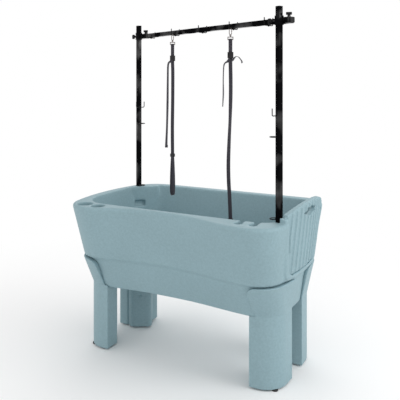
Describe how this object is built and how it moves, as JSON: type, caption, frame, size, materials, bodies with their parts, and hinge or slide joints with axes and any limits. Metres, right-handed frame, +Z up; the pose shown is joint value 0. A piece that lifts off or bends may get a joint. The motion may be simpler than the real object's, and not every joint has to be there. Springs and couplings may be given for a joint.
{
  "type": "pet bathtub",
  "caption": "Raised moulded pet bath on four detachable legs, with a lift-out end door, a two-post overhead bar on screw clamps, and hanging tether straps.",
  "frame": {"origin": "on the floor, at the centre of the bounding box seen from above", "axes": "+Z up, +X towards the end with the lift-out door, -Y towards the scooped front"},
  "size_m": [1.2916, 0.8296, 1.801],
  "materials": {
    "moulded_shell": "fine mottled rotomoulded grain, satin",
    "rubber_parts": "matt",
    "drain_plastic": "satin",
    "black_tube": "gloss black powder coat",
    "black_plastic": "gloss",
    "black_wire": "gloss black powder coat",
    "knob_plastic": "satin",
    "snap_metal": "dark nickel plate",
    "webbing": "woven nylon webbing",
    "slider_plastic": "satin"
  },
  "bodies": {
    "tub": {"tub_shell": "moulded_shell", "foot_pads": "rubber_parts", "drain_body": "drain_plastic", "drain_gasket": "rubber_parts", "drain_nut": "drain_plastic", "post_left": "black_tube", "post_right": "black_tube", "post_cap_left": "black_plastic", "post_cap_right": "black_plastic", "post_hooks": "black_wire", "upper_tie_rings": "black_wire", "base_tie_rings": "black_wire", "leg_front_left": "moulded_shell", "leg_front_right": "moulded_shell", "leg_rear_left": "moulded_shell", "leg_rear_right": "moulded_shell"},
    "door": {"end_door": "moulded_shell"},
    "plug": {"drain_plug": "rubber_parts"},
    "bar_clamps": {"clamp_left": "black_tube", "clamp_right": "black_tube"},
    "bar": {"crossbar": "black_tube", "bar_end_caps": "black_plastic", "bar_hooks": "black_wire", "bar_hook_rivets": "black_wire"},
    "post_knob_left": {"post_knob_left": "knob_plastic"},
    "bar_knob_left": {"bar_knob_left": "knob_plastic"},
    "post_knob_right": {"post_knob_right": "knob_plastic"},
    "bar_knob_right": {"bar_knob_right": "knob_plastic"},
    "snap_1": {"snap_hook_1": "snap_metal"},
    "gate_1": {"snap_gate_1": "snap_metal"},
    "leash_1": {"swivel_eye_1": "snap_metal", "leash_strap_1": "webbing", "strap_buckle_1": "snap_metal"},
    "slider_1": {"noose_slider_1": "slider_plastic"},
    "snap_2": {"snap_hook_2": "snap_metal"},
    "gate_2": {"snap_gate_2": "snap_metal"},
    "leash_2": {"swivel_eye_2": "snap_metal", "leash_strap_2": "webbing", "strap_buckle_2": "snap_metal"},
    "slider_2": {"noose_slider_2": "slider_plastic"}
  },
  "joints": [
    {"name": "door_lift", "type": "slide", "parent": "tub", "child": "door", "axis": [0.1132, 0, 0.9936], "range_m": [0, 0.34]},
    {"name": "plug_lift", "type": "slide", "parent": "tub", "child": "plug", "axis": [0, 0, 1], "range_m": [0, 0.06]},
    {"name": "bar_height", "type": "slide", "parent": "tub", "child": "bar_clamps", "axis": [0, 0, 1], "range_m": [-0.17, 0.03]},
    {"name": "bar_shift", "type": "slide", "parent": "bar_clamps", "child": "bar", "axis": [0.9154, -0.4024, 0], "range_m": [-0.004, 0.018]},
    {"name": "post_knob_left_turn", "type": "hinge", "parent": "bar_clamps", "child": "post_knob_left", "pos_m": [-0.6059, 0.28907, 1.735], "axis": [-0.9154, 0.4024, 0], "continuous": true},
    {"name": "bar_knob_left_turn", "type": "hinge", "parent": "bar_clamps", "child": "bar_knob_left", "pos_m": [-0.52506, 0.28412, 1.775], "axis": [0, 0, 1], "continuous": true},
    {"name": "post_knob_right_turn", "type": "hinge", "parent": "bar_clamps", "child": "post_knob_right", "pos_m": [0.5201, -0.20593, 1.735], "axis": [-0.9154, 0.4024, 0], "continuous": true},
    {"name": "bar_knob_right_turn", "type": "hinge", "parent": "bar_clamps", "child": "bar_knob_right", "pos_m": [0.60094, -0.21088, 1.775], "axis": [0, 0, 1], "continuous": true},
    {"name": "leash_1_swing", "type": "hinge", "parent": "bar", "child": "snap_1", "pos_m": [-0.23952, 0.13674, 1.7198], "axis": [-0.4024, -0.9154, 0], "range_deg": [-6, 12]},
    {"name": "gate_1_open", "type": "hinge", "parent": "snap_1", "child": "gate_1", "pos_m": [-0.23128, 0.13312, 1.7014], "axis": [-0.4024, -0.9154, 0], "range_deg": [0, 20], "stiffness_Nm_per_rad": 0.01},
    {"name": "leash_1_swivel", "type": "hinge", "parent": "snap_1", "child": "leash_1", "pos_m": [-0.23952, 0.13674, 1.6798], "axis": [0, 0, 1], "continuous": true},
    {"name": "noose_1_tighten", "type": "slide", "parent": "leash_1", "child": "slider_1", "axis": [0, 0, 1], "range_m": [0, 0.1]},
    {"name": "leash_2_swing", "type": "hinge", "parent": "bar", "child": "snap_2", "pos_m": [0.2334, -0.07116, 1.7198], "axis": [-0.4024, -0.9154, 0], "range_deg": [-12, 12]},
    {"name": "gate_2_open", "type": "hinge", "parent": "snap_2", "child": "gate_2", "pos_m": [0.24164, -0.07478, 1.7014], "axis": [-0.4024, -0.9154, 0], "range_deg": [0, 20], "stiffness_Nm_per_rad": 0.01},
    {"name": "leash_2_swivel", "type": "hinge", "parent": "snap_2", "child": "leash_2", "pos_m": [0.2334, -0.07116, 1.6798], "axis": [0, 0, 1], "continuous": true},
    {"name": "noose_2_tighten", "type": "slide", "parent": "leash_2", "child": "slider_2", "axis": [0, 0, 1], "range_m": [0, 0.1]}
  ]
}
